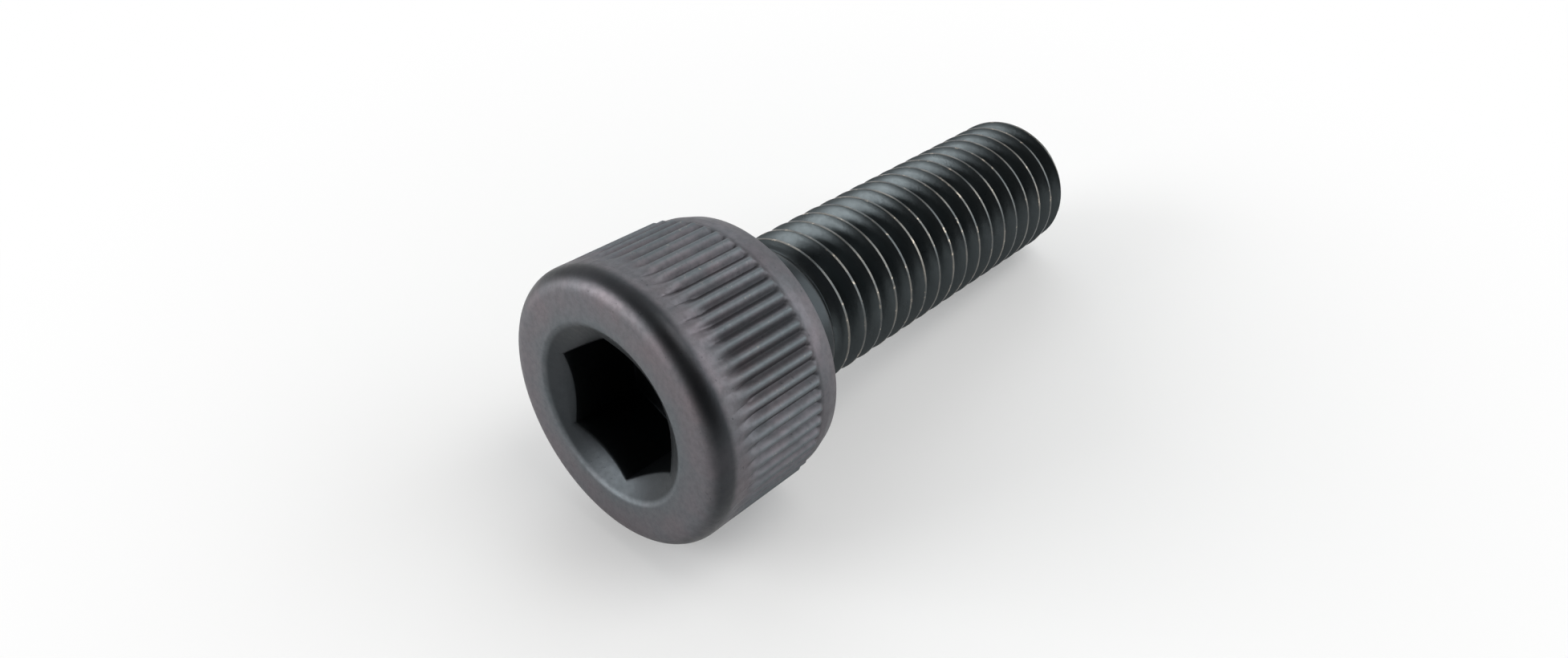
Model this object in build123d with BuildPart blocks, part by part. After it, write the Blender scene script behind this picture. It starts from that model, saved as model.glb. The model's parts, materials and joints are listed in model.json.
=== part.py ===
from build123d import *

import os
from math import atan2, cos, degrees, radians, sin, tan

# Hexagon-socket head cap screw, M5 x 16: one cold-forged piece with a knurled
# cylindrical head. It lies as it comes to rest, on the head's knurl and the edge of
# the tip, so its axis dips towards the tip. The axis lies in the XZ plane and runs
# from the socket towards +X. z = 0 is the surface that the screw lies on.

# Driving dimensions: millimetres and degrees
THREAD_DIAMETER = 5.0  # major diameter; the shank carries the thread up to the head
SHANK_LENGTH = 16.0  # from the bearing face to the tip
TIP_CHAMFER_LENGTH = 0.8
TIP_CHAMFER_RISE = 0.55
HEAD_DIAMETER = 8.5  # over the crests of the knurl
HEAD_HEIGHT = 5.0
FACE_EDGE_ROUND = 0.6  # outer edge of the socket face
REAR_CHAMFER_LENGTH = 0.5
REAR_CHAMFER_RISE = 0.15
UNDER_HEAD_FILLET = 0.25

KNURL_TEETH = 60
KNURL_DEPTH = 0.18  # from crest to root
KNURL_PROUD = 0.1  # height of the crests over the head's plain rims
KNURL_FRONT_MARGIN = 0.1  # plain rim between the rounded edge and the ridges
KNURL_FRONT_RAMP = 0.55  # length over which the ridges rise
KNURL_REAR_MARGIN = 0.75  # from the bearing face to the end of the grooves
KNURL_REAR_RAMP = 0.12

SOCKET_ACROSS_FLATS = 4.0
SOCKET_DEPTH = 2.7  # full hexagon, measured from the socket face
SOCKET_TURN = -10.0  # from a corner pointing up, by the right-hand rule about the axis
SOCKET_POINT_ANGLE = 15.0  # slope of the forged conical bottom
MOUTH_DIAMETER = 5.6  # rim of the countersunk mouth
MOUTH_SLOPE = 30.0  # angle between the countersink and the socket face
MOUTH_LIP_ROUND = 0.2

OVERRUN = 0.05  # how far a hidden surface runs under the one that covers it

# Radii of the head and the shank
shank_radius = THREAD_DIAMETER / 2
tip_radius = shank_radius - TIP_CHAMFER_RISE
crest_radius = HEAD_DIAMETER / 2
root_radius = crest_radius - KNURL_DEPTH
pitch_radius = (crest_radius + root_radius) / 2
rim_radius = crest_radius - KNURL_PROUD
bearing_radius = rim_radius - REAR_CHAMFER_RISE
waist_radius = root_radius - OVERRUN
mouth_radius = MOUTH_DIAMETER / 2
half_flats = SOCKET_ACROSS_FLATS / 2

# Stations along the axis, measured from the bearing face towards the tip
face_station = -HEAD_HEIGHT
knurl_front = face_station + FACE_EDGE_ROUND + KNURL_FRONT_MARGIN
knurl_rear = -KNURL_REAR_MARGIN
ridge_rear = knurl_rear - KNURL_REAR_RAMP
tip_edge = SHANK_LENGTH - TIP_CHAMFER_LENGTH
tooth_angle = 360 / KNURL_TEETH

# Resting pose: the edge of the tip and the head touch z = 0. Of the head's two low
# points, the end of the lowest crest and the rear rim, the one that makes the axis
# dip more is the one that touches.
head_low_points = (
    (ridge_rear - KNURL_REAR_RAMP, crest_radius),
    (-REAR_CHAMFER_LENGTH, rim_radius),
)
dip = max(
    atan2(radius - shank_radius, tip_edge - station)
    for station, radius in head_low_points
)
seat_height = shank_radius * cos(dip) + tip_edge * sin(dip)

# Ends of the box in X, before the box is centred on x = 0
front_reach = (
    (face_station + FACE_EDGE_ROUND) * cos(dip)
    - (rim_radius - FACE_EDGE_ROUND) * sin(dip)
    - FACE_EDGE_ROUND
)
tip_reach = SHANK_LENGTH * cos(dip) + tip_radius * sin(dip)
seat_x = -(front_reach + tip_reach) / 2

# The profile plane's X runs along the screw and its Y is the radius
seat_centre = Vector(seat_x, 0, seat_height)
tipward = Vector(cos(dip), 0, -sin(dip))
upward = Vector(sin(dip), 0, cos(dip))
profile_plane = Plane(origin=seat_centre, x_dir=tipward, z_dir=(0, -1, 0))
screw_axis = Axis(seat_centre, tipward)


def section_plane(station):
    """Plane across the screw at a station, facing the tip, with its X pointing up."""
    return Plane(origin=seat_centre + tipward * station, x_dir=upward, z_dir=tipward)


def polar_point(radius, angle):
    """Point of a section at an angle in degrees."""
    return (radius * cos(radians(angle)), radius * sin(radians(angle)))


# Knurl: rounded ridges along the head, shaped by an outline that eases their ends
with BuildPart() as knurl:
    with BuildSketch(section_plane(knurl_front)):
        with BuildLine():
            for tooth in range(KNURL_TEETH):
                root_angle = 180 + (tooth + 0.5) * tooth_angle  # a crest points down
                crest_angle = root_angle + tooth_angle / 2
                ThreePointArc(
                    polar_point(pitch_radius, root_angle - tooth_angle / 4),
                    polar_point(root_radius, root_angle),
                    polar_point(pitch_radius, root_angle + tooth_angle / 4),
                )
                ThreePointArc(
                    polar_point(pitch_radius, crest_angle - tooth_angle / 4),
                    polar_point(crest_radius, crest_angle),
                    polar_point(pitch_radius, crest_angle + tooth_angle / 4),
                )
        make_face()
    extrude(amount=knurl_rear - knurl_front)
    with BuildSketch(profile_plane):
        with BuildLine():
            Polyline(
                (knurl_front, 0),
                (knurl_front, waist_radius - OVERRUN),
                (knurl_front + KNURL_FRONT_RAMP, crest_radius),
                (ridge_rear - KNURL_REAR_RAMP, crest_radius),
                (ridge_rear, root_radius),
                (ridge_rear, 0),
                close=True,
            )
        make_face()
    revolve(axis=screw_axis, mode=Mode.INTERSECT)

with BuildPart() as cap_screw:
    # Blank: the head, waisted under the knurl, and the shank in one turned outline
    with BuildSketch(profile_plane):
        with BuildLine():
            Polyline(
                (face_station + mouth_radius * tan(radians(MOUTH_SLOPE)), 0),
                (face_station, mouth_radius),
                (face_station, rim_radius),
                (knurl_front, rim_radius),
                (knurl_front + KNURL_FRONT_RAMP, waist_radius),
                (ridge_rear, waist_radius),
                (knurl_rear, rim_radius),
                (-REAR_CHAMFER_LENGTH, rim_radius),
                (0, bearing_radius),
                (0, shank_radius),
                (tip_edge, shank_radius),
                (SHANK_LENGTH, tip_radius),
                (SHANK_LENGTH, 0),
                close=True,
            )
        make_face()
        for corner, radius in (
            ((face_station, mouth_radius), MOUTH_LIP_ROUND),
            ((face_station, rim_radius), FACE_EDGE_ROUND),
            ((0, shank_radius), UNDER_HEAD_FILLET),
        ):
            fillet(vertices().sort_by_distance(corner)[0], radius)
    revolve(axis=screw_axis)
    add(knurl.part)

    # Hexagon socket with a shallow conical bottom
    with BuildSketch(section_plane(face_station)):
        RegularPolygon(
            radius=half_flats, side_count=6, major_radius=False, rotation=SOCKET_TURN
        )
    extrude(amount=SOCKET_DEPTH, mode=Mode.SUBTRACT)
    socket_floor = face_station + SOCKET_DEPTH
    with BuildSketch(profile_plane):
        with BuildLine():
            Polyline(
                (socket_floor, 0),
                (socket_floor, half_flats),
                (socket_floor + half_flats * tan(radians(SOCKET_POINT_ANGLE)), 0),
                close=True,
            )
        make_face()
    revolve(axis=screw_axis, mode=Mode.SUBTRACT)

cap_screw.part.label = "cap_screw"

os.makedirs("parts", exist_ok=True)
export_step(cap_screw.part, "parts/cap_screw.step")
print(f"axis dips {degrees(dip):.3f} degrees, bearing face centre at {seat_centre}")
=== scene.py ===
"""Socket head cap screw: its finished surface, around its construction model.

The screw is one forged piece. Its surface is first laid out as a smooth blank with its
hexagon socket. Two geometry node trees then work like the rolling dies of the real
screw: one rolls the knurl into the head, the other rolls the thread into the shank.

Stations are distances along the screw's axis from the bearing face under the head,
towards the tip. Angles go round the axis by the right-hand rule, from the +Y side.
"""

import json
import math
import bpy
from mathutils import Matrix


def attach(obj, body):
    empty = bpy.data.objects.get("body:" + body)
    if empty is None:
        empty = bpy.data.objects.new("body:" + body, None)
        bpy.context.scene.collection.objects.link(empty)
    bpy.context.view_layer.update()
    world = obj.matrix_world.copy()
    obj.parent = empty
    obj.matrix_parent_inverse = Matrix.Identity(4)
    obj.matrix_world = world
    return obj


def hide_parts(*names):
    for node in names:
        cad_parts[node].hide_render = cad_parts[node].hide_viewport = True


bl_info = {
    "name": "Socket Head Cap Screw",
    "version": (1, 0, 0),
    "blender": (4, 5, 0),
    "location": "View3D > Sidebar > Cap Screw",
    "description": "Builds the finished surface of a knurled socket head cap screw",
    "category": "Object",
}

import bmesh
import bpy
from bpy.props import FloatProperty, FloatVectorProperty, IntProperty, PointerProperty
from mathutils import Matrix, Vector

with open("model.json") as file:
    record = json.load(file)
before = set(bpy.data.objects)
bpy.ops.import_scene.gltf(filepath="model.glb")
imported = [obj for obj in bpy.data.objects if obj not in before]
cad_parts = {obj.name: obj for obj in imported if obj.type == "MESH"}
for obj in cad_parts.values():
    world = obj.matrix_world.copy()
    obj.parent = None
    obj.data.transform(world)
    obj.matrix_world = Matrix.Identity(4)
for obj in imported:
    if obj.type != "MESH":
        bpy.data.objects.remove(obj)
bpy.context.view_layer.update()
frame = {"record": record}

MM = 0.001
TURN = 2 * math.pi
MOUNTS = {mount["name"]: mount for mount in frame["record"]["mounts"]}

# Vertices round each part of the screw. The knurl's number is a multiple of the others,
# and they put vertices on the hexagon's corners and the knurl's crests.
SOCKET_COLUMNS = 360
KNURL_COLUMNS = 720
SHANK_COLUMNS = 120
WELD = 1e-8  # metres within which two vertices are one
# Rows of vertices along the knurl: where the ridges rise, and closer where they end
RISING_ROWS = 25
ROW_STEP = 0.1 * MM
ENDING_ROWS = 15
CLOSE_STEP = 0.025 * MM
SHARP_ANGLE = math.radians(40)  # edges sharper than this are not smoothed over
# Places in one pitch, counted in pitches from the crest, where a row of vertices runs
THREAD_ROWS = (
    -0.08, -0.05, 0.0, 0.05, 0.08, 0.17, 0.27, 0.375, 0.43, 0.5, 0.57, 0.625, 0.73, 0.83,
)

WHITE = (1.0, 1.0, 1.0)
DARK_SIDE = (-0.57, -0.51, 0.65)  # direction of the sky's dark side
DARK_EDGES = (0.52, 0.7)  # cosines to that direction where the dark begins and is full
# Seen directly, the floor glows by the first share near the screw, and fully far away
GLOW_NEAR = 0.22
GLOW_EDGES = (9 * MM, 34 * MM)


# ---------------------------------------------------------------- sizes and colours


def length(name, description, millimetres):
    """A property that holds a length, given here in millimetres."""
    return FloatProperty(
        name=name,
        description=description,
        default=millimetres * MM,
        min=0.0,
        precision=5,
        subtype="DISTANCE",
        unit="LENGTH",
    )


def share(name, description, default):
    """A property that holds a number between 0 and 1."""
    return FloatProperty(
        name=name, description=description, default=default, min=0.0, max=1.0, subtype="FACTOR"
    )


def turned(name, description, degrees):
    """A property that holds an angle, given here in degrees."""
    return FloatProperty(
        name=name,
        description=description,
        default=math.radians(degrees),
        subtype="ANGLE",
        unit="ROTATION",
    )


def colour(name, description, red, green, blue):
    """A property that holds a linear colour."""
    return FloatVectorProperty(
        name=name,
        description=description,
        default=(red, green, blue),
        min=0.0,
        max=1.0,
        size=3,
        subtype="COLOR",
    )


class HeadSizes(bpy.types.PropertyGroup):
    """Sizes of the head and its knurl"""

    height: length("Height", "From the bearing face to the socket face", 5.0)
    crest_radius: length("Crest radius", "Over the crests of the knurl", 4.25)
    root_radius: length("Root radius", "At the bottom of the knurl's grooves", 4.07)
    front_radius: length("Front radius", "Of the plain rim in front of the knurl", 4.24)
    rim_radius: length("Rim radius", "Of the plain rim behind the knurl", 4.15)
    face_edge_round: length("Face edge round", "Radius of the socket face's outer edge", 0.6)
    bearing_radius: length("Bearing radius", "Outer radius of the bearing face", 4.0)
    rear_chamfer: length("Rear chamfer", "Length of the chamfer beside the bearing face", 0.5)
    edge_round: length("Edge round", "Radius of the small edges", 0.06)
    teeth: IntProperty(name="Teeth", description="Ridges of the knurl", default=60, min=12)
    front_margin: length("Front margin", "Plain rim behind the rounded face edge", 0.15)
    front_ramp: length("Front ramp", "Length over which the ridges rise", 1.1)
    rear_margin: length("Rear margin", "From the bearing face to the ridges' ends", 0.79)
    rear_ramp: length("Rear ramp", "Length over which the ridges end", 0.2)
    fullness: share("Fullness", "Under 0.5 gives broad ridges and narrow grooves", 0.36)


class SocketSizes(bpy.types.PropertyGroup):
    """Sizes of the hexagon socket and its mouth"""

    across_flats: length("Across flats", "Width of the hexagon", 4.0)
    depth: length("Depth", "Full hexagon, from the socket face", 2.7)
    mouth_radius: length("Mouth radius", "Rim of the countersink", 2.8)
    mouth_slope: turned("Mouth slope", "Angle of the countersink to the face", 30.0)
    lip_round: length("Lip round", "Radius between the countersink and the face", 0.2)
    point_slope: turned("Point slope", "Slope of the conical bottom", 15.0)
    edge_round: length("Edge round", "Softening where the flats meet the countersink", 0.045)
    turn: turned("Turn", "Of the hexagon, from a corner pointing up", -10.0)


class ShankSizes(bpy.types.PropertyGroup):
    """Sizes of the shank and its thread"""

    length: length("Length", "From the bearing face to the tip", 16.0)
    radius: length("Radius", "Over the crests of the thread", MOUNTS["thread"]["dims"]["r_mm"])
    pitch: length("Pitch", "Of the right-hand thread", 0.8)
    crest_station: length("Crest station", "Of one crest, on the +Y side", 0.473)
    runout_start: length("Run-out start", "Where the thread begins to deepen", 1.5)
    runout_length: length("Run-out length", "Over which the thread reaches full depth", 0.9)
    head_fillet: length("Head fillet", "Radius between the shank and the bearing face", 0.25)
    tip_chamfer: length("Tip chamfer", "Length of the chamfer at the tip", 0.8)
    tip_rise: length("Tip rise", "Radius that the chamfer takes off", 0.55)
    tip_round: length("Tip round", "Radius of the tip face's edge", 0.12)


class FinishColours(bpy.types.PropertyGroup):
    """Colours of the oiled black oxide"""

    head: colour("Head", "Satin oxide of the head", 0.143, 0.133, 0.146)
    warm: colour("Warm", "Brown and purple tint in patches", 0.158, 0.134, 0.144)
    teal: colour("Teal", "Blue-green tint in patches and near the socket", 0.108, 0.136, 0.146)
    # Besides random oily stains, this colour paints shade in the socket, the mouth, the knurl's
    # grooves, along the rounded face edge and on the neck
    oil: colour("Oil", "Thin oily residue in grooves", 0.020, 0.023, 0.026)
    shank: colour("Shank", "Glossier oxide of the thread", 0.060, 0.070, 0.074)
    wear: colour("Wear", "Bare steel where a crest or an edge is rubbed", 0.42, 0.37, 0.31)
    grain: length("Grain", "Size of the oxide's grain", 0.06)


class StageSettings(bpy.types.PropertyGroup):
    """Camera, floor and lamps"""

    azimuth: turned("Azimuth", "Of the camera's heading, from +Y towards +X", 48.35)
    elevation: turned("Elevation", "Of the camera above the horizon", 40.27)
    distance: length("Distance", "From the camera to the point it looks at", 33.3)
    aim: FloatVectorProperty(
        name="Aim",
        description="Point that the camera looks at",
        default=(-4.18 * MM, -0.96 * MM, 4.42 * MM),
        size=3,
        subtype="TRANSLATION",
        unit="LENGTH",
    )
    lens: FloatProperty(
        name="Lens", description="Focal length in millimetres", default=25.36, min=1.0
    )
    floor_size: length("Floor size", "Side of the square floor", 900.0)
    floor_colour: colour("Floor", "Pale floor", 0.93, 0.93, 0.925)
    sky: FloatProperty(
        name="Sky", description="Strength of the soft light all round", default=0.68, min=0.0
    )
    dark_side: FloatProperty(
        name="Dark side", description="Strength of the sky's one dark side", default=0.08, min=0.0
    )
    window: FloatProperty(
        name="Window", description="Brightness of the window on the left", default=5.6, min=0.0
    )


SETTINGS = {
    "cap_screw_head": HeadSizes,
    "cap_screw_socket": SocketSizes,
    "cap_screw_shank": ShankSizes,
    "cap_screw_finish": FinishColours,
    "cap_screw_stage": StageSettings,
}


# ---------------------------------------------------------------- node expressions


class Field:
    """A node socket that reads as a value in a Python expression."""

    def __init__(self, graph, socket):
        self.graph = graph
        self.socket = socket

    def __add__(self, other):
        return self.graph.math("ADD", self, other)

    def __sub__(self, other):
        return self.graph.math("SUBTRACT", self, other)

    def __rsub__(self, other):
        return self.graph.math("SUBTRACT", other, self)

    def __mul__(self, other):
        return self.graph.math("MULTIPLY", self, other)

    def __truediv__(self, other):
        return self.graph.math("DIVIDE", self, other)

    def __pow__(self, other):
        return self.graph.math("POWER", self, other)

    def __gt__(self, other):
        return self.graph.math("GREATER_THAN", self, other)

    __radd__ = __add__


class Graph:
    """A shader or geometry node tree that is written as Python expressions."""

    def __init__(self, tree):
        self.tree = tree

    def node(self, kind, settings=None, inputs=None, output=0):
        """Adds a node: its settings first, then values or links for its sockets."""
        node = self.tree.nodes.new(kind)
        settings = dict(settings or {})
        stops = settings.pop("stops", None)
        for name, value in settings.items():
            setattr(node, name, value)
        if stops:
            self.place_stops(node.color_ramp.elements, stops)
        for key, value in (inputs or {}).items():
            self.feed(self.find(node.inputs, key), value)
        return Field(self, self.find(node.outputs, output))

    @staticmethod
    def find(sockets, key):
        """A socket by its place, its identifier or its name."""
        if isinstance(key, int):
            return sockets[key]
        return next(s for s in sockets if key in (s.identifier, s.name))

    @staticmethod
    def place_stops(elements, stops):
        """Sets a ramp's stops from pairs of a place and a grey or a colour."""
        while len(elements) < len(stops):
            elements.new(1.0)
        for element, (place, shade) in zip(elements, stops):
            element.position = place
            rgb = shade if isinstance(shade, tuple) else (shade,) * 3
            element.color = (*rgb, 1.0)

    def feed(self, socket, value):
        """Links a field to a socket, or sets the socket's own value."""
        if isinstance(value, Field):
            self.tree.links.new(value.socket, socket)
        elif socket.type == "RGBA":
            socket.default_value = (*value, 1.0)
        else:
            socket.default_value = value

    def math(self, operation, *values):
        return self.node("ShaderNodeMath", {"operation": operation}, dict(enumerate(values)))

    def smooth(self, value, start, end):
        """0 before start, 1 after end and an S-curve between them."""
        return self.node(
            "ShaderNodeMapRange",
            {"interpolation_type": "SMOOTHSTEP"},
            {"Value": value, "From Min": start, "From Max": end},
        )

    def blend(self, factor, first, second):
        """Mixes two colours."""
        return self.node(
            "ShaderNodeMix",
            {"data_type": "RGBA"},
            {"Factor_Float": factor, "A_Color": first, "B_Color": second},
            "Result_Color",
        )

    def parts(self, vector):
        """The X, Y and Z of a vector."""
        split = self.node("ShaderNodeSeparateXYZ", inputs={0: vector})
        return [Field(self, output) for output in split.socket.node.outputs]

    def together(self, x, y, z):
        return self.node("ShaderNodeCombineXYZ", inputs={0: x, 1: y, 2: z})


# ---------------------------------------------------------------- the blank


class Lathe:
    """Lays the rings of a turned surface one after another and joins each to the last."""

    def __init__(self, columns):
        self.mesh = bmesh.new()
        self.knurled = self.mesh.verts.layers.float.new("knurled")
        self.threaded = self.mesh.verts.layers.float.new("threaded")
        self.columns = columns
        self.last = []

    def vertex(self, station, radius, angle):
        return self.mesh.verts.new(
            (station, radius * math.cos(angle), radius * math.sin(angle))
        )

    def pole(self, station):
        """Closes or opens the surface at a point on the axis."""
        point = self.vertex(station, 0.0, 0.0)
        for i, corner in enumerate(self.last):
            self.mesh.faces.new((corner, self.last[(i + 1) % len(self.last)], point))
        self.last = [point]

    def ring(self, station, radius):
        """Adds a ring. Its station and radius are numbers or functions of the angle."""
        ring = []
        for column in range(self.columns):
            angle = TURN * column / self.columns
            far = station(angle) if callable(station) else station
            out = radius(angle) if callable(radius) else radius
            ring.append(self.vertex(far, out, angle))
        self.join(ring)
        return ring

    def join(self, ring):
        """Joins a ring to the last one, which may be a pole, finer or coarser."""
        if len(self.last) == 1:
            for i, corner in enumerate(ring):
                self.mesh.faces.new((self.last[0], corner, ring[(i + 1) % len(ring)]))
        elif self.last:
            count = min(len(ring), len(self.last))
            before, after = len(self.last) // count, len(ring) // count
            for i in range(count):
                near = [self.last[(i * before + k) % len(self.last)] for k in range(before + 1)]
                far = [ring[(i * after + k) % len(ring)] for k in range(after + 1)]
                self.mesh.faces.new((*near, *reversed(far)))
        self.last = ring

    def arc(self, centre, radius, start, end, steps, first=0):
        """Adds rings round an arc of the outline. Angles are from +X towards outward."""
        for step in range(first, steps + 1):
            angle = start + (end - start) * step / steps
            self.ring(
                centre[0] + radius * math.cos(angle), centre[1] + radius * math.sin(angle)
            )


def cut_socket(lathe, face, socket):
    """The socket from its bottom up to the rounded lip of its mouth."""
    half = socket.across_flats / 2
    corner_angle = math.pi / 2 + socket.turn
    slope = math.tan(socket.mouth_slope)

    def hexagon(angle):
        across = (angle - corner_angle) % (TURN / 6) - TURN / 12
        return half / math.cos(across)

    def countersunk(angle, inset=0.0):
        return face + (socket.mouth_radius - hexagon(angle) - inset) * slope

    floor = face + socket.depth
    lathe.pole(floor + half * math.tan(socket.point_slope))
    lathe.ring(floor + half * 0.5 * math.tan(socket.point_slope), half * 0.5)
    lathe.ring(floor, half * 0.96)
    lathe.ring(floor, lambda angle: hexagon(angle) - 0.08 * MM)
    lathe.ring(floor - 0.025 * MM, lambda angle: hexagon(angle) - 0.025 * MM)
    lathe.ring(floor - 0.08 * MM, hexagon)
    for depth in (0.7, 0.4):
        lathe.ring(face + socket.depth * depth, hexagon)
    # Three rings round the edge between each flat and the countersink
    soft = socket.edge_round
    lathe.ring(lambda angle: countersunk(angle) + soft, hexagon)
    lathe.ring(
        lambda angle: countersunk(angle) + soft * 0.25,
        lambda angle: hexagon(angle) + soft * 0.25,
    )
    lathe.ring(lambda angle: countersunk(angle, soft), lambda angle: hexagon(angle) + soft)
    # The countersink, and the arc that rounds its lip into the face
    tangent = socket.lip_round * math.tan(socket.mouth_slope / 2)
    lip_start = socket.mouth_radius - tangent * math.cos(socket.mouth_slope)
    for part in (0.3, 0.65):
        lathe.ring(
            lambda angle: face
            + (socket.mouth_radius - (hexagon(angle) + soft) * (1 - part) - lip_start * part)
            * slope,
            lambda angle: (hexagon(angle) + soft) * (1 - part) + lip_start * part,
        )
    lathe.arc(
        (face + socket.lip_round, socket.mouth_radius + tangent),
        socket.lip_round,
        math.pi + socket.mouth_slope,
        math.pi,
        5,
    )


def turn_head(lathe, face, lip, head, shank):
    """The head from the socket's lip round to the bearing face."""
    round_centre = (face + head.face_edge_round, head.front_radius - head.face_edge_round)
    for part in (0.25, 0.5, 0.75):
        lathe.ring(face, lip * (1 - part) + round_centre[1] * part)
    lathe.columns = KNURL_COLUMNS
    lathe.arc(round_centre, head.face_edge_round, math.pi, math.pi / 2, 14)

    # Between the rising rows and the ending rows the ridges run straight and need none
    front = face + head.face_edge_round
    close = -head.rear_margin - head.rear_ramp - ROW_STEP
    stations = [front + ROW_STEP * i for i in range(1, RISING_ROWS + 1)]
    stations = [station for station in stations if station < close]
    stations += [close + CLOSE_STEP * i for i in range(ENDING_ROWS)]
    edge = -head.rear_chamfer
    for station in stations:
        if station < edge - head.edge_round:
            radius = head.front_radius if station < close else head.rim_radius
            for vertex in lathe.ring(station, radius):
                vertex[lathe.knurled] = 1.0

    # Rear rim: two softened edges with the chamfer between them
    chamfer = math.atan2(head.rim_radius - head.bearing_radius, head.rear_chamfer)
    soften(lathe, (edge, head.rim_radius), 0.0, chamfer, head.edge_round)
    soften(lathe, (0.0, head.bearing_radius), chamfer, math.pi / 2, head.edge_round)
    lathe.ring(0.0, (head.bearing_radius + shank.radius) / 2)


def soften(lathe, corner, before, after, reach):
    """Rounds a corner of the outline, where its heading turns inward by two angles."""
    start = (corner[0] - reach * math.cos(before), corner[1] + reach * math.sin(before))
    end = (corner[0] + reach * math.cos(after), corner[1] - reach * math.sin(after))
    for part in (0.0, 0.25, 0.5, 0.75, 1.0):
        lathe.ring(
            *(
                first * (1 - part) ** 2 + middle * 2 * part * (1 - part) + last * part**2
                for first, middle, last in zip(start, corner, end)
            )
        )


def turn_shank(lathe, shank):
    """The shank from the bearing face to the tip, its rows laid along the thread."""
    lathe.columns = SHANK_COLUMNS
    fillet = shank.head_fillet
    lathe.arc((fillet, shank.radius + fillet), fillet, math.pi, math.pi * 1.5, 5)
    tip_angle = math.atan2(shank.tip_rise, shank.tip_chamfer)
    tip_tangent = shank.tip_round * math.tan((math.pi / 2 - tip_angle) / 2)
    end = shank.length - tip_tangent * math.cos(tip_angle)
    # Rows start a turn before the fillet, and those that lie past either end close up there
    start = fillet
    turns_before = math.ceil((shank.crest_station - start) / shank.pitch + 1)
    first = shank.crest_station - turns_before * shank.pitch
    turns = math.ceil((end - first) / shank.pitch) + 1
    rows = [first + (k + place) * shank.pitch for k in range(turns) for place in THREAD_ROWS]
    columns = []
    for column in range(SHANK_COLUMNS + 1):
        lead = shank.pitch * column / SHANK_COLUMNS
        stations = [min(max(row + lead, start), end) for row in rows]
        angle = TURN * column / SHANK_COLUMNS
        columns.append([lathe.vertex(station, shank.radius, angle) for station in stations])
        for vertex in columns[-1]:
            vertex[lathe.threaded] = 1.0
    for left, right in zip(columns, columns[1:]):
        for i in range(len(rows) - 1):
            lathe.mesh.faces.new((left[i], left[i + 1], right[i + 1], right[i]))

    lathe.last = [column[-1] for column in columns[:-1]]
    centre = (shank.length - shank.tip_round, shank.radius - shank.tip_rise - tip_tangent)
    lathe.arc(centre, shank.tip_round, math.pi / 2 - tip_angle, 0.0, 4, first=1)
    lathe.ring(shank.length, (shank.radius - shank.tip_rise) * 0.5)
    lathe.pole(shank.length)


def forge_blank(head, socket, shank):
    """The screw before its knurl and thread are rolled, along X from the bearing face."""
    face = -head.height
    lathe = Lathe(SOCKET_COLUMNS)
    cut_socket(lathe, face, socket)
    lip = socket.mouth_radius + socket.lip_round * math.tan(socket.mouth_slope / 2)
    turn_head(lathe, face, lip, head, shank)
    turn_shank(lathe, shank)
    bmesh.ops.remove_doubles(lathe.mesh, verts=lathe.mesh.verts, dist=WELD)
    bmesh.ops.recalc_face_normals(lathe.mesh, faces=lathe.mesh.faces)
    mesh = bpy.data.meshes.new("screw_blank")
    lathe.mesh.to_mesh(mesh)
    lathe.mesh.free()
    return bpy.data.objects.new("screw_blank", mesh)


# ---------------------------------------------------------------- the rolling dies


def new_die(name, numbers):
    """A geometry tree with named numbers and a material as inputs: its graph and fields."""
    tree = bpy.data.node_groups.new(name, "GeometryNodeTree")
    tree.interface.new_socket("Geometry", in_out="INPUT", socket_type="NodeSocketGeometry")
    tree.interface.new_socket("Geometry", in_out="OUTPUT", socket_type="NodeSocketGeometry")
    for label in numbers:
        tree.interface.new_socket(label, in_out="INPUT", socket_type="NodeSocketFloat")
    tree.interface.new_socket("Material", in_out="INPUT", socket_type="NodeSocketMaterial")
    graph = Graph(tree)
    entry = tree.nodes.new("NodeGroupInput")
    fields = {socket.name: Field(graph, socket) for socket in entry.outputs if socket.name}
    return graph, fields


def close_die(graph, geometry, material):
    """Ends a tree in plain mesh with its material set."""
    plain = graph.node("GeometryNodeRealizeInstances", inputs={0: geometry})
    dressed = graph.node(
        "GeometryNodeSetMaterial", inputs={"Geometry": plain, "Material": material}
    )
    way_out = graph.tree.nodes.new("NodeGroupOutput")
    graph.tree.links.new(dressed.socket, way_out.inputs[0])
    return graph.tree


def press(graph, geometry, zone, new_radius):
    """Moves the vertices of a zone to a new radius, given as a function of their place."""
    x, y, z = graph.parts(graph.node("GeometryNodeInputPosition"))
    radius = graph.math("SQRT", y * y + z * z)
    angle = graph.math("ARCTAN2", z, y)
    inside = graph.node(
        "GeometryNodeInputNamedAttribute", {"data_type": "FLOAT"}, {"Name": zone}
    )
    scale = new_radius(x, radius, angle) / radius
    return graph.node(
        "GeometryNodeSetPosition",
        inputs={
            "Geometry": geometry,
            "Selection": inside > 0.5,
            "Position": graph.together(x, y * scale, z * scale),
        },
    )


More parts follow.
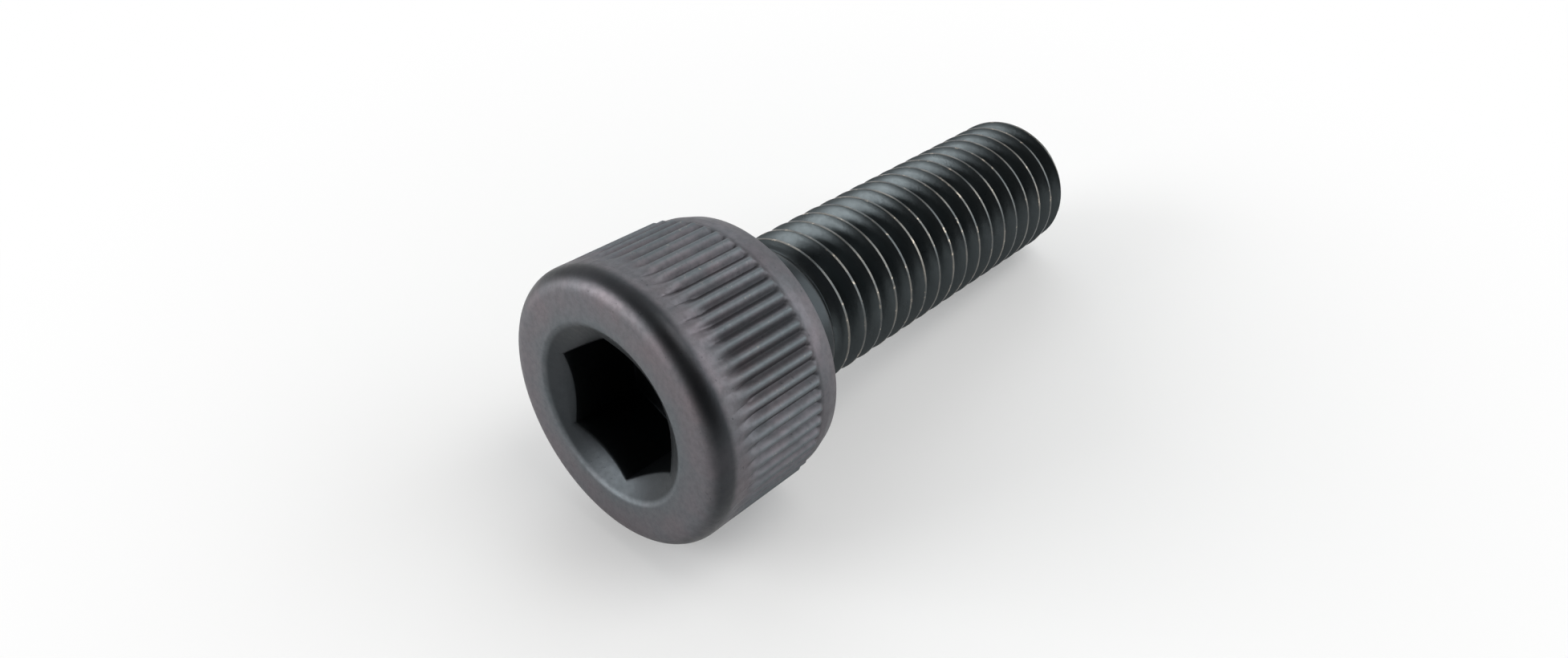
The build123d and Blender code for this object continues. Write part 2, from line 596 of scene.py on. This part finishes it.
def knurling_die():
    """Rolls rounded ridges along the head that fade in at the front and end at the rear."""
    graph, field = new_die(
        "knurling_die",
        (
            "Teeth",
            "Fullness",
            "Crest Radius",
            "Root Radius",
            "Front",
            "Front Ramp",
            "Rear",
            "Rear Ramp",
        ),
    )

    def ridged(x, radius, angle):
        wave = graph.math("COSINE", angle * field["Teeth"]) * 0.5 + 0.5
        ridge = wave ** (field["Fullness"] * 2)
        tooth = graph.math("FLOOR", angle * field["Teeth"] / TURN + 0.5)
        tooth = graph.math("FLOORED_MODULO", tooth, field["Teeth"])
        luck = graph.node(
            "ShaderNodeTexWhiteNoise", {"noise_dimensions": "1D"}, {"W": tooth}, "Value"
        )
        # Each ridge starts a little sooner or later, and is a little higher or lower, the
        # same way on every run because the noise depends only on the tooth's number
        start = field["Front"] + (luck - 0.5) * field["Front Ramp"] * 0.25
        height = (field["Crest Radius"] - field["Root Radius"]) * (luck * 0.08 + 0.92)
        rolled = field["Root Radius"] + ridge * height
        rising = graph.smooth(x, start, start + field["Front Ramp"])
        ending = graph.smooth(x, field["Rear"] - field["Rear Ramp"], field["Rear"])
        return radius + (rolled - radius) * rising * (1 - ending)

    shaped = press(graph, field["Geometry"], "knurled", ridged)
    return close_die(graph, shaped, field["Material"])


def threading_die():
    """Rolls a right-hand metric thread into the shank, chamfered at the tip."""
    graph, field = new_die(
        "threading_die",
        (
            "Pitch",
            "Crest Station",
            "Major Radius",
            "Run-out Start",
            "Run-out Length",
            "Tip",
            "Tip Chamfer",
            "Tip Rise",
        ),
    )
    pitch, major = field["Pitch"], field["Major Radius"]
    # The metric profile, in pitches: 60 degree flanks, a flat crest and a round root
    steepness = math.sqrt(3)
    crest_half = 1 / 16
    root_round = 0.144
    tangent_place = 0.5 - root_round * math.sin(math.pi / 3)
    tangent_depth = (tangent_place - crest_half) * steepness
    root_centre_depth = tangent_depth - root_round * math.cos(math.pi / 3)

    def threaded(x, radius, angle):
        turns = (x - field["Crest Station"]) / pitch - angle / TURN
        place = graph.math("ABSOLUTE", graph.math("FRACT", turns + 0.5) - 0.5)
        flank = graph.math("MAXIMUM", place - crest_half, 0.0) * steepness
        side = 0.5 - place
        inside = graph.math("MAXIMUM", root_round**2 - side * side, 0.0)
        root = root_centre_depth + graph.math("SQRT", inside)
        in_root = place > tangent_place
        depth = (flank + (root - flank) * in_root) * pitch
        rolled = graph.smooth(
            x, field["Run-out Start"], field["Run-out Start"] + field["Run-out Length"]
        )
        from_tip = field["Tip"] - x
        chamfer = major - field["Tip Rise"] * (1 - from_tip / field["Tip Chamfer"])
        return graph.math("SMOOTH_MIN", major - depth * rolled, chamfer, pitch * 0.06)

    shaped = press(graph, field["Geometry"], "threaded", threaded)
    return close_die(graph, shaped, field["Material"])


def load_die(piece, tree, values):
    """Adds a die to a piece as a modifier, with its inputs set by identifier."""
    modifier = piece.modifiers.new(tree.name, "NODES")
    modifier.node_group = tree
    for item in tree.interface.items_tree:
        if item.item_type == "SOCKET" and item.in_out == "INPUT" and item.name in values:
            modifier[item.identifier] = values[item.name]


def roll(piece, name):
    """Runs a piece's dies and returns a plain object with the result."""
    bpy.context.scene.collection.objects.link(piece)
    graph = bpy.context.evaluated_depsgraph_get()
    mesh = bpy.data.meshes.new_from_object(piece.evaluated_get(graph))
    blank = piece.data
    bpy.data.objects.remove(piece)
    bpy.data.meshes.remove(blank)
    mesh.name = name
    result = bpy.data.objects.new(name, mesh)
    bpy.context.scene.collection.objects.link(result)
    return result


# ---------------------------------------------------------------- the finish


def screw_to_frame(head):
    """The matrix from the screw's own axis and stations to the frame."""
    socket_mount = MOUNTS["hex_socket"]
    tipward = -Vector(socket_mount["axis"]).normalized()
    across = Vector((0.0, 1.0, 0.0))
    upward = tipward.cross(across)
    seat = Vector(socket_mount["pos_m"]) + tipward * head.height
    matrix = Matrix((tipward, across, upward)).transposed().to_4x4()
    matrix.translation = seat
    return matrix


def black_oxide(colours, head, socket, shank, place):
    """Oiled black oxide: satin on the head, glossier on the thread, rubbed on its edges, with
    painted shade in its hollows, along the rounded face edge and on the neck.
    """
    material = bpy.data.materials.new("black_oxide")
    material.use_nodes = True
    material.node_tree.nodes.clear()
    graph = Graph(material.node_tree)

    # Object coordinates brought onto the screw's own axis, in millimetres
    to_screw = place.inverted()
    coordinates = graph.node("ShaderNodeTexCoord", output="Object")
    on_axis = graph.node(
        "ShaderNodeMapping",
        {"vector_type": "POINT"},
        {
            "Vector": coordinates,
            "Location": to_screw.translation,
            "Rotation": to_screw.to_euler(),
        },
    )
    scaled = graph.node(
        "ShaderNodeVectorMath", {"operation": "SCALE"}, {0: on_axis, "Scale": 1 / MM}
    )
    station, y, z = graph.parts(scaled)
    radius = graph.math("SQRT", y * y + z * z)

    def noise(scale, detail=3.0, roughness=0.5):
        return graph.node(
            "ShaderNodeTexNoise",
            {"noise_dimensions": "3D"},
            {"Vector": scaled, "Scale": scale, "Detail": detail, "Roughness": roughness},
            "Fac",
        )

    patches = graph.smooth(noise(0.32), 0.35, 0.65)
    clouds = graph.smooth(noise(1.1, 4.0), 0.3, 0.7)
    grain = noise(MM / colours.grain, 2.0)
    mottle = graph.smooth(noise(5.0, 5.0, 0.7), 0.35, 0.68)
    specks = graph.smooth(noise(9.0, 3.0, 0.7), 0.62, 0.70)
    pits = graph.smooth(noise(7.0, 2.0, 0.5), 0.70, 0.75)

    # Zones of the screw
    on_shank = graph.smooth(station, -0.02, 0.02)
    on_head = 1 - on_shank
    face_station = -head.height / MM
    behind_face = station - face_station
    at_mouth = graph.smooth(radius, 3.5, 2.6) * graph.smooth(behind_face, 1.2, 0.4)
    shaded_mouth = graph.smooth(radius, 2.85, 2.6) * graph.smooth(behind_face, 0.0, 0.1)
    socket_shade = graph.smooth(radius, 2.36, 2.3) * graph.smooth(behind_face, 0.25, 0.6)
    root, crest = head.root_radius / MM, head.crest_radius / MM
    in_knurl = graph.smooth(behind_face, 1.0, 1.9) * graph.smooth(station, -0.7, -0.8)
    groove_shade = graph.smooth(radius, crest - 0.02, root + 0.02) * in_knurl * on_head
    # Painted shade and dark reflection along the rounded face edge, growing from its inner part
    # to its outer half, which is also made less rough
    front = head.front_radius / MM
    smooth_shaded_edge = graph.smooth(radius, front - 0.42, front - 0.1)
    smooth_shaded_edge = smooth_shaded_edge * graph.smooth(behind_face, 0.78, 0.52) * on_head
    ridge = graph.smooth(radius, crest - 0.08, crest - 0.01) * in_knurl * on_head

    # Colour of the head: oxide with warm and teal patches, and painted shade in its hollows and
    # along the rounded face edge
    head_tint_and_shade = graph.blend(patches * 0.7, colours.head, colours.warm)
    head_tint_and_shade = graph.blend(clouds * 0.35, head_tint_and_shade, colours.teal)
    head_tint_and_shade = graph.blend(at_mouth * 0.55, head_tint_and_shade, colours.teal)
    head_tint_and_shade = graph.blend(mottle * 0.16 + pits * 0.35, head_tint_and_shade, colours.oil)
    # Painted shade in the mouth's countersink and down into the socket, which are also made less
    # rough
    head_tint_and_shade = graph.blend(shaded_mouth * on_head * 0.8, head_tint_and_shade, colours.oil)
    head_tint_and_shade = graph.blend(ridge * 0.55, head_tint_and_shade, colours.teal)
    # Painted shade in the knurl's grooves, darkest at their roots
    head_tint_and_shade = graph.blend(groove_shade * 0.5, head_tint_and_shade, colours.oil)
    # Painted shade deep inside the socket, nearly to the darkest colour
    head_tint_and_shade = graph.blend(socket_shade * 0.9, head_tint_and_shade, colours.oil)
    # Painted shade and dark reflection on the rounded face edge
    head_tint_and_shade = graph.blend(smooth_shaded_edge * (0.72 + patches * 0.2), head_tint_and_shade, colours.oil)

    # Thread: glossy and nearly black, with the crests rubbed to bare steel, and painted shade on
    # the plain neck beside the head
    major = shank.radius / MM
    full_thread = (shank.runout_start + shank.runout_length * 0.6) / MM
    on_thread = graph.smooth(station, full_thread - 0.3, full_thread)
    crest_line = graph.smooth(radius, major - 0.018, major - 0.002) * on_thread
    rub = graph.smooth(noise(1.0, 4.0, 0.65), 0.38, 0.66)
    rubbed = crest_line * (0.04 + rub * 0.26)
    chips = crest_line * graph.smooth(noise(4.0, 2.0, 0.6), 0.62, 0.68)
    # Painted shade on the plain neck next to the head, fading out as the thread reaches full
    # depth
    neck_shade = graph.smooth(station, full_thread + 0.2, full_thread - 0.4) * 0.6
    thread_tint_and_shade = graph.blend(neck_shade, colours.shank, colours.oil)
    oxide = graph.blend(on_shank, head_tint_and_shade, thread_tint_and_shade)
    worn = graph.math("MINIMUM", rubbed + chips * 0.7, 1.0)
    base = graph.blend(worn, oxide, colours.wear)
    base = graph.blend(specks * ridge * 0.3, base, colours.wear)

    rough = 0.45 + mottle * 0.06 + clouds * 0.06 + grain * 0.04
    rough = rough - shaded_mouth * on_head * 0.15 - smooth_shaded_edge * 0.12 - on_shank * 0.2
    bump_height = grain * 0.005 + noise(4.0, 3.0) * 0.008 - pits * 0.006
    normal = graph.node(
        "ShaderNodeBump",
        inputs={"Strength": 0.35, "Distance": MM, "Height": bump_height},
    )
    surface = graph.node(
        "ShaderNodeBsdfPrincipled",
        inputs={
            "Base Color": base,
            "Metallic": 0.9,
            "Roughness": rough,
            "Normal": normal,
        },
    )
    output = graph.tree.nodes.new("ShaderNodeOutputMaterial")
    graph.tree.links.new(surface.socket, output.inputs["Surface"])
    return material


# ---------------------------------------------------------------- the stage


def lay_floor(settings):
    """A flat pale floor that the screw lies on."""
    half = settings.floor_size / 2
    mesh = bpy.data.meshes.new("floor")
    corners = [(-half, -half, 0), (half, -half, 0), (half, half, 0), (-half, half, 0)]
    mesh.from_pydata(corners, [], [(0, 1, 2, 3)])
    floor = bpy.data.objects.new("floor", mesh)
    bpy.context.scene.collection.objects.link(floor)
    material = bpy.data.materials.new("pale_floor")
    material.use_nodes = True
    material.node_tree.nodes.clear()
    graph = Graph(material.node_tree)
    paper = graph.node(
        "ShaderNodeBsdfPrincipled",
        inputs={
            "Base Color": tuple(settings.floor_colour),
            "Roughness": 0.6,
            "Specular IOR Level": 0.2,
        },
    )
    glow = graph.node("ShaderNodeEmission", inputs={"Color": WHITE, "Strength": 1.0})
    seen = graph.node("ShaderNodeLightPath", output="Is Camera Ray")
    place = graph.node("ShaderNodeTexCoord", output="Object")
    away = graph.node("ShaderNodeVectorMath", {"operation": "LENGTH"}, {0: place}, "Value")
    share_of_glow = graph.smooth(away, *GLOW_EDGES) * (1 - GLOW_NEAR) + GLOW_NEAR
    floor_shader = graph.node(
        "ShaderNodeMixShader", inputs={0: seen * share_of_glow, 1: paper, 2: glow}
    )
    output = graph.tree.nodes.new("ShaderNodeOutputMaterial")
    graph.tree.links.new(floor_shader.socket, output.inputs["Surface"])
    mesh.materials.append(material)


def hang_lamp(name, toward, distance, size, radiance, tint=WHITE):
    """A square soft lamp in a direction from the screw. Its lengths are in millimetres."""
    light = bpy.data.lights.new(name, "AREA")
    light.shape = "SQUARE"
    light.size = size * MM
    light.energy = radiance * math.pi * light.size**2
    light.color = tint
    lamp = bpy.data.objects.new(name, light)
    lamp.location = Vector(toward).normalized() * distance * MM
    lamp.rotation_mode = "QUATERNION"
    lamp.rotation_quaternion = (-lamp.location).to_track_quat("-Z", "Y")
    bpy.context.scene.collection.objects.link(lamp)


def light_stage(settings):
    """A soft pale sky with one dark side, a window on the left and three soft lamps."""
    world = bpy.data.worlds.new("soft_sky")
    bpy.context.scene.world = world
    world.use_nodes = True
    world.node_tree.nodes.clear()
    graph = Graph(world.node_tree)
    heading = graph.node("ShaderNodeTexCoord", output="Generated")
    facing = graph.node(
        "ShaderNodeVectorMath",
        {"operation": "DOT_PRODUCT"},
        {0: heading, 1: DARK_SIDE},
        "Value",
    )
    dark = graph.smooth(facing, *DARK_EDGES)
    glow = settings.sky + dark * (settings.dark_side - settings.sky)
    seen = graph.node("ShaderNodeLightPath", output="Is Camera Ray")
    strength = glow + seen * (1 - glow)
    sky = graph.node("ShaderNodeBackground", inputs={"Color": WHITE, "Strength": strength})
    output = graph.tree.nodes.new("ShaderNodeOutputWorld")
    graph.tree.links.new(sky.socket, output.inputs["Surface"])
    hang_lamp("window_left", (-0.76, 0.57, 0.31), 220, 135, settings.window)
    hang_lamp("window_behind", (0.62, 0.55, 0.56), 240, 150, 1.2, (0.92, 0.97, 1.0))
    hang_lamp("ceiling", (0.20, -0.30, 0.93), 230, 110, 2.8, (1.0, 0.98, 0.95))
    hang_lamp("lamp_right", (0.69, -0.59, 0.42), 230, 210, 1.9, (0.95, 0.98, 1.0))


def aim_camera(settings):
    """The camera at its azimuth and elevation round the point it looks at."""
    camera = bpy.data.objects.new("camera", bpy.data.cameras.new("camera"))
    level = math.cos(settings.elevation)
    toward = Vector(
        (
            math.sin(settings.azimuth) * level,
            math.cos(settings.azimuth) * level,
            -math.sin(settings.elevation),
        )
    )
    camera.location = Vector(settings.aim) - toward * settings.distance
    camera.rotation_mode = "QUATERNION"
    camera.rotation_quaternion = toward.to_track_quat("-Z", "Y")
    camera.data.sensor_width = 36.0
    camera.data.lens = settings.lens
    camera.data.clip_start = 1 * MM
    camera.data.clip_end = 10.0
    bpy.context.scene.collection.objects.link(camera)
    bpy.context.scene.camera = camera
    bpy.context.scene.view_settings.view_transform = "Standard"


# ---------------------------------------------------------------- operators and panel


class CAPSCREW_OT_screw(bpy.types.Operator):
    """Forge the screw's blank, roll its knurl and thread, and give it its finish"""

    bl_idname = "cap_screw.screw"
    bl_label = "Make Screw"

    def execute(self, context):
        scene = context.scene
        head, socket, shank = scene.cap_screw_head, scene.cap_screw_socket, scene.cap_screw_shank
        place = screw_to_frame(head)
        material = black_oxide(scene.cap_screw_finish, head, socket, shank, place)
        blank = forge_blank(head, socket, shank)
        load_die(
            blank,
            knurling_die(),
            {
                "Teeth": float(head.teeth),
                "Fullness": head.fullness,
                "Crest Radius": head.crest_radius,
                "Root Radius": head.root_radius,
                "Front": -head.height + head.face_edge_round + head.front_margin,
                "Front Ramp": head.front_ramp,
                "Rear": -head.rear_margin,
                "Rear Ramp": head.rear_ramp,
                "Material": material,
            },
        )
        load_die(
            blank,
            threading_die(),
            {
                "Pitch": shank.pitch,
                "Crest Station": shank.crest_station,
                "Major Radius": shank.radius,
                "Run-out Start": shank.runout_start,
                "Run-out Length": shank.runout_length,
                "Tip": shank.length,
                "Tip Chamfer": shank.tip_chamfer,
                "Tip Rise": shank.tip_rise,
                "Material": material,
            },
        )
        screw = roll(blank, "finished_cap_screw")
        screw.data.transform(place)
        screw.data.shade_smooth()
        screw.data.set_sharp_from_angle(angle=SHARP_ANGLE)
        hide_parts("cap_screw")
        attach(screw, "root")
        return {"FINISHED"}


class CAPSCREW_OT_stage(bpy.types.Operator):
    """Lay the floor, hang the lamps and aim the camera"""

    bl_idname = "cap_screw.stage"
    bl_label = "Set Stage"

    def execute(self, context):
        settings = context.scene.cap_screw_stage
        lay_floor(settings)
        light_stage(settings)
        aim_camera(settings)
        return {"FINISHED"}


class CAPSCREW_PT_panel(bpy.types.Panel):
    """Sizes, colours and buttons of the cap screw"""

    bl_idname = "CAPSCREW_PT_panel"
    bl_label = "Cap Screw"
    bl_space_type = "VIEW_3D"
    bl_region_type = "UI"
    bl_category = "Cap Screw"

    def draw(self, context):
        for name, group in SETTINGS.items():
            box = self.layout.box()
            box.label(text=group.__doc__)
            for prop in group.__annotations__:
                box.prop(getattr(context.scene, name), prop)
        self.layout.operator("cap_screw.screw")
        self.layout.operator("cap_screw.stage")


CLASSES = (*SETTINGS.values(), CAPSCREW_OT_screw, CAPSCREW_OT_stage, CAPSCREW_PT_panel)


def register():
    for cls in CLASSES:
        bpy.utils.register_class(cls)
    for name, group in SETTINGS.items():
        setattr(bpy.types.Scene, name, PointerProperty(type=group))


def unregister():
    for name in SETTINGS:
        delattr(bpy.types.Scene, name)
    for cls in reversed(CLASSES):
        bpy.utils.unregister_class(cls)


def main():
    register()
    bpy.ops.cap_screw.screw()
    bpy.ops.cap_screw.stage()


if __name__ == "__main__":
    main()
